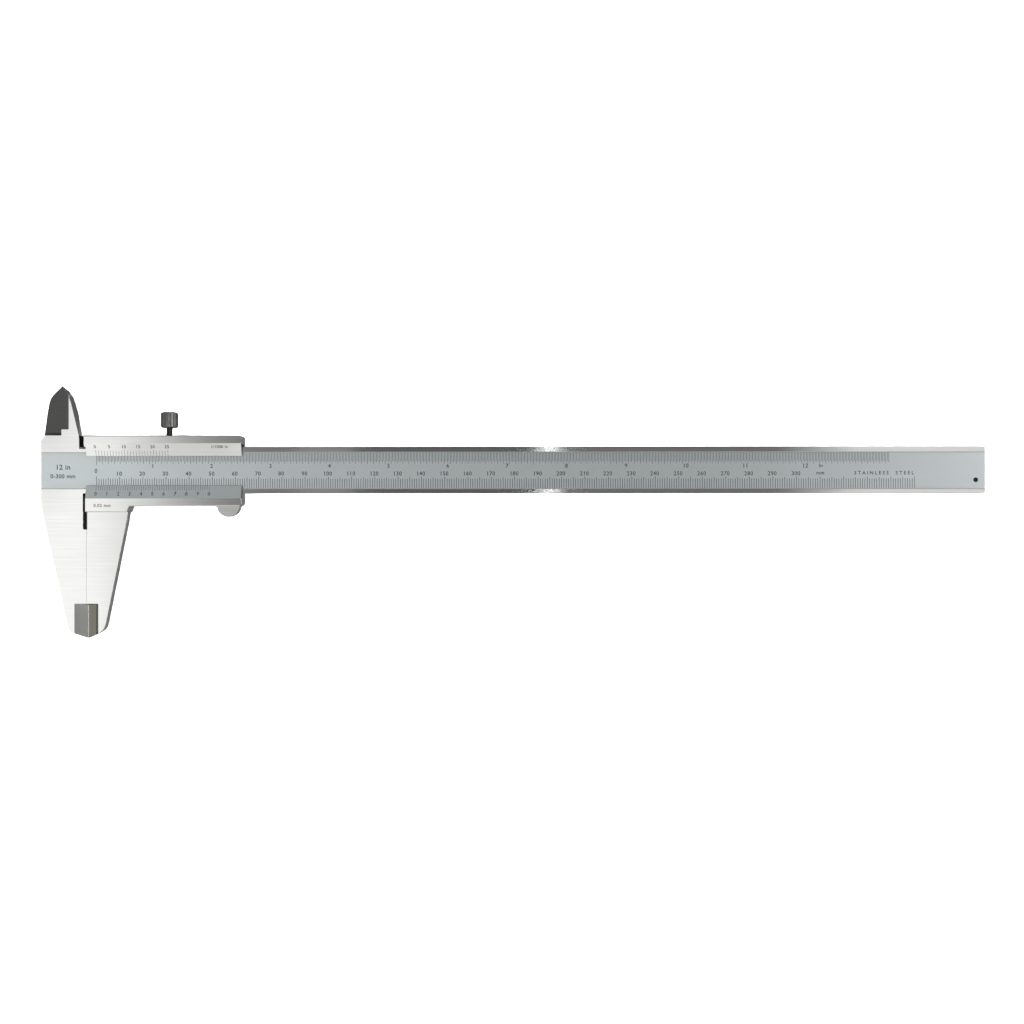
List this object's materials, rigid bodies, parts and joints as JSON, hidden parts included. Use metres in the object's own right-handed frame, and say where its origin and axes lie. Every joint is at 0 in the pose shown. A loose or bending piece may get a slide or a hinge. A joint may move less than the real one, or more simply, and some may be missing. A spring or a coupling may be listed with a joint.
{
  "type": "vernier caliper",
  "caption": "Vernier caliper with a graduated beam, outside and inside jaws, a sliding vernier with thumb rest and clamp screw, and a depth rod.",
  "frame": {"origin": "on the rest plane at the slider's back, at the beam's centre line and in the plane where the closed jaws meet", "axes": "+X along the beam towards its far end, the way the slider opens; +Y across the beam towards the inside jaws and clamp screw; +Z out of the scale face"},
  "size_m": [0.404, 0.1093, 0.0078],
  "materials": {
    "beam_steel": "satin scale face between fine-ground rails and jaws",
    "slider_steel": "fine ground, with satin vernier faces",
    "plate_steel": "fine ground",
    "rod_steel": "drawn, satin",
    "screw_steel": "turned, dull",
    "blackened_steel": "blackened",
    "knob_steel": "turned and fluted, dull dark steel",
    "bronze": "cold-rolled phosphor bronze strip",
    "brass": "turned"
  },
  "bodies": {
    "beam": {"beam": "beam_steel", "end_stop": "plate_steel", "end_stop_screw": "blackened_steel", "end_stop_pin": "plate_steel"},
    "slider": {"slider": "slider_steel", "back_cover": "plate_steel", "cover_screw_1": "screw_steel", "cover_screw_2": "screw_steel", "cover_screw_3": "screw_steel", "cover_screw_4": "screw_steel", "depth_rod": "rod_steel", "depth_rod_rivet_1": "plate_steel", "depth_rod_rivet_2": "plate_steel", "gib": "bronze", "gib_screw_1": "screw_steel", "gib_screw_2": "screw_steel"},
    "clamp_pad": {"clamp_pad": "brass"},
    "clamp_screw": {"clamp_screw": "knob_steel"}
  },
  "joints": [
    {"name": "slider_slide", "type": "slide", "parent": "beam", "child": "slider", "axis": [1, 0, 0], "range_m": [0, 0.303]},
    {"name": "clamp_advance", "type": "slide", "parent": "slider", "child": "clamp_pad", "axis": [0, -1, 0], "range_m": [-0.00045, 0.0003]},
    {"name": "clamp_turn", "type": "hinge", "parent": "clamp_pad", "child": "clamp_screw", "pos_m": [0.0356, 0.01485, 0.0042], "axis": [0, -1, 0], "range_deg": [-360, 240]}
  ],
  "couplings": [
    {"joint": "clamp_turn", "follows": "clamp_advance", "rad_per_m": 13960}
  ]
}
